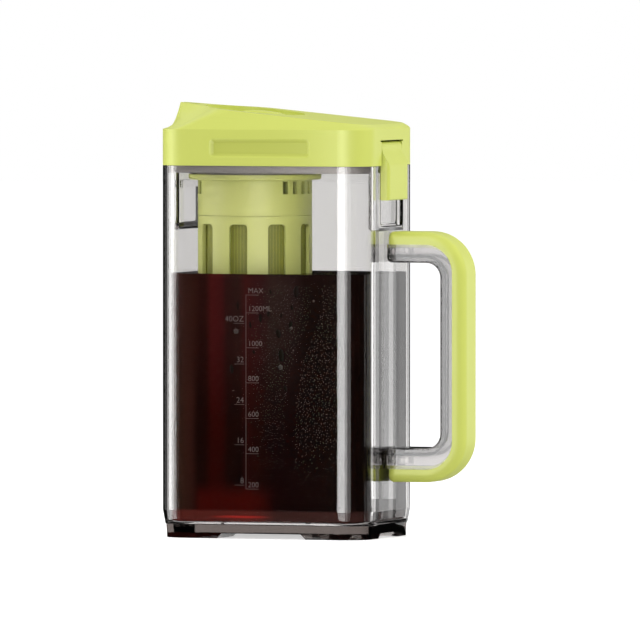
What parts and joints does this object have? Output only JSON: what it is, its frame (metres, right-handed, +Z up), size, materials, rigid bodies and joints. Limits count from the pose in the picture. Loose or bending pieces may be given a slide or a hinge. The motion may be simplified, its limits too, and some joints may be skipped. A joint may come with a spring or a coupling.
{
  "type": "cold brew coffee maker",
  "caption": "Rectangular clear fridge jug with side handle, sloped spout lid with latch and fill cap, and a hanging filter.",
  "frame": {"origin": "middle of the whole plan, jug and handle, at the ground that the four feet stand on", "axes": "+Z up, +X from the spout to the handle, -Y the front with the scale"},
  "size_m": [0.176, 0.09, 0.2481],
  "materials": {
    "clear_jug": "clear moulded copolyester",
    "clear_frame": "clear moulded copolyester",
    "lime_cover": "satin lime polypropylene",
    "lime_lid": "satin lime polypropylene",
    "lime_plug": "satin lime polypropylene",
    "grey_seal": "grey silicone",
    "lime_latch": "satin lime polypropylene",
    "steel_pin": "ground stainless steel",
    "lime_cap": "satin lime polypropylene",
    "lime_core": "lime polypropylene",
    "clear_seal": "translucent silicone",
    "grey_gasket": "grey silicone",
    "lime_collar": "lime polypropylene",
    "lime_cage": "lime polypropylene",
    "mesh_sleeve": "fine woven nylon mesh",
    "lime_base": "lime polypropylene",
    "mesh_disc": "fine woven nylon mesh"
  },
  "bodies": {
    "jug": {"jug_body": "clear_jug", "handle_frame": "clear_frame", "handle_cover": "lime_cover"},
    "lid": {"lid_shell": "lime_lid", "lid_plug": "lime_plug", "lid_seal": "grey_seal", "latch_pin": "steel_pin", "filter_gasket": "grey_gasket"},
    "latch": {"latch": "lime_latch"},
    "cap": {"fill_cap": "lime_cap", "cap_core": "lime_core", "cap_seal": "clear_seal"},
    "filter": {"filter_collar": "lime_collar", "filter_cage": "lime_cage", "filter_mesh": "mesh_sleeve"},
    "base_cap": {"filter_base": "lime_base", "base_mesh": "mesh_disc"}
  },
  "joints": [
    {"name": "lid_lift", "type": "slide", "parent": "jug", "child": "lid", "axis": [0, 0, 1], "range_m": [0, 0.2]},
    {"name": "latch_turn", "type": "hinge", "parent": "lid", "child": "latch", "pos_m": [0.0371, 0, 0.2234], "axis": [0, -1, 0], "range_deg": [0, 80]},
    {"name": "cap_lift", "type": "slide", "parent": "lid", "child": "cap", "axis": [0, 0, 1], "range_m": [0, 0.03]},
    {"name": "filter_drop", "type": "slide", "parent": "lid", "child": "filter", "axis": [0, 0, -1], "range_m": [0, 0.018]},
    {"name": "base_drop", "type": "slide", "parent": "filter", "child": "base_cap", "axis": [0, 0, -1], "range_m": [0, 0.013]}
  ]
}
